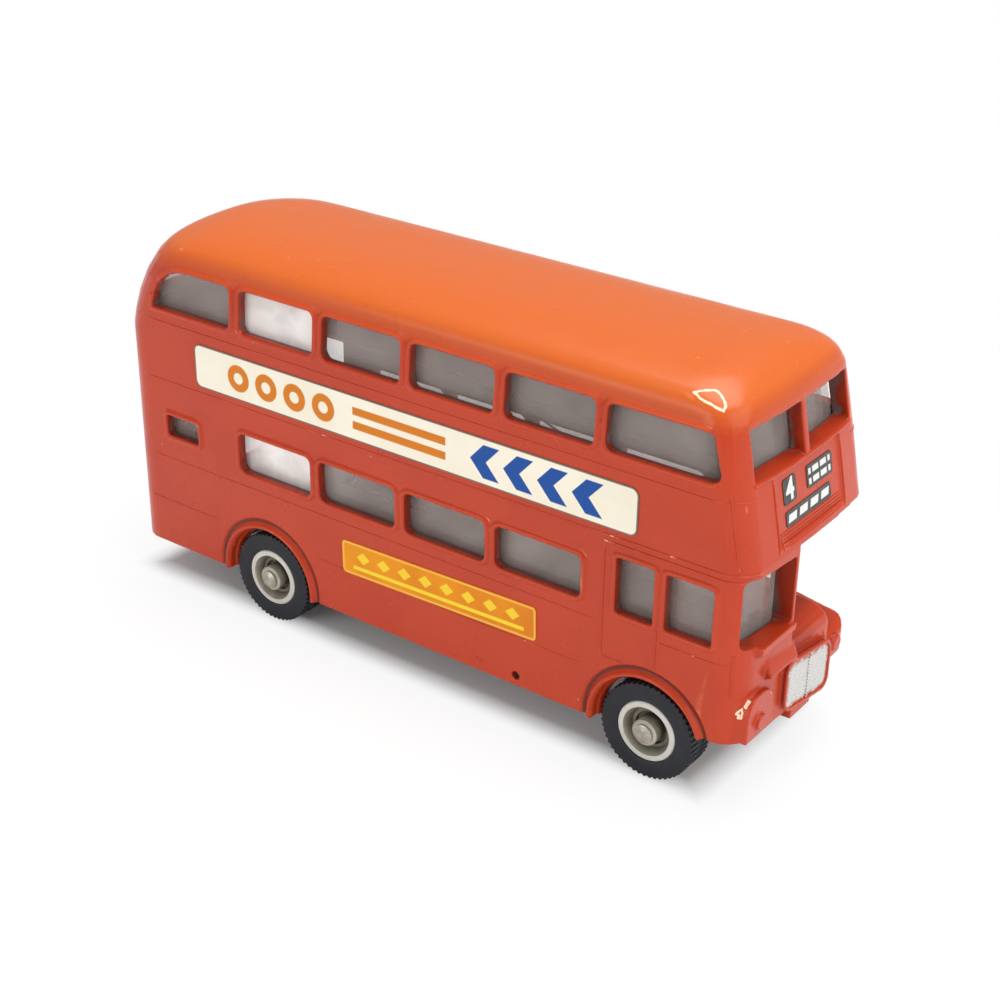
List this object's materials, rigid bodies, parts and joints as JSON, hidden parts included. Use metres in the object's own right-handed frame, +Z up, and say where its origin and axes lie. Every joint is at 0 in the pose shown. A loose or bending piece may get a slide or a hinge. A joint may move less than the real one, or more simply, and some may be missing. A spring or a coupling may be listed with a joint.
{
  "type": "toy bus",
  "caption": "Die-cast toy double-deck bus with a half cab, an open rear platform, clear glazing bands and free-rolling rubber-tyred wheels.",
  "frame": {"origin": "on the ground under the middle of the body, between the tyres", "axes": "+X to the bus's front, +Y to its nearside with the platform, +Z up"},
  "size_m": [0.1133, 0.034, 0.06],
  "materials": {
    "enamel": "gloss",
    "tinplate": "satin",
    "rivet_metal": "satin",
    "glazing": "clear gloss",
    "axle_steel": "satin",
    "hub_metal": "satin",
    "tyre_rubber": "matte",
    "cream_paper": "satin",
    "orange_paper": "satin",
    "blind_paper": "satin"
  },
  "bodies": {
    "chassis": {"body_shell": "enamel", "base_plate": "tinplate", "front_rivet": "rivet_metal", "rear_rivet": "rivet_metal", "upper_glazing": "glazing", "lower_glazing": "glazing", "offside_label": "cream_paper", "nearside_label": "cream_paper", "offside_plate": "orange_paper", "nearside_plate": "orange_paper", "number_blind": "blind_paper", "route_blind": "blind_paper", "destination_blind": "blind_paper"},
    "front_axle_rod": {"front_axle": "axle_steel"},
    "rear_axle_rod": {"rear_axle": "axle_steel"},
    "front_offside_wheel": {"front_offside_hub": "hub_metal", "front_offside_tyre": "tyre_rubber"},
    "front_nearside_wheel": {"front_nearside_hub": "hub_metal", "front_nearside_tyre": "tyre_rubber"},
    "rear_offside_wheel": {"rear_offside_hub": "hub_metal", "rear_offside_tyre": "tyre_rubber"},
    "rear_nearside_wheel": {"rear_nearside_hub": "hub_metal", "rear_nearside_tyre": "tyre_rubber"}
  },
  "joints": [
    {"name": "front_axle_turn", "type": "hinge", "parent": "chassis", "child": "front_axle_rod", "pos_m": [0.04145, 0, 0.0073], "axis": [0, 1, 0], "continuous": true},
    {"name": "rear_axle_turn", "type": "hinge", "parent": "chassis", "child": "rear_axle_rod", "pos_m": [-0.02745, 0, 0.0073], "axis": [0, 1, 0], "continuous": true},
    {"name": "front_offside_roll", "type": "hinge", "parent": "front_axle_rod", "child": "front_offside_wheel", "pos_m": [0.04145, -0.0134, 0.0073], "axis": [0, 1, 0], "continuous": true},
    {"name": "front_nearside_roll", "type": "hinge", "parent": "front_axle_rod", "child": "front_nearside_wheel", "pos_m": [0.04145, 0.0134, 0.0073], "axis": [0, 1, 0], "continuous": true},
    {"name": "rear_offside_roll", "type": "hinge", "parent": "rear_axle_rod", "child": "rear_offside_wheel", "pos_m": [-0.02745, -0.0134, 0.0073], "axis": [0, 1, 0], "continuous": true},
    {"name": "rear_nearside_roll", "type": "hinge", "parent": "rear_axle_rod", "child": "rear_nearside_wheel", "pos_m": [-0.02745, 0.0134, 0.0073], "axis": [0, 1, 0], "continuous": true}
  ]
}
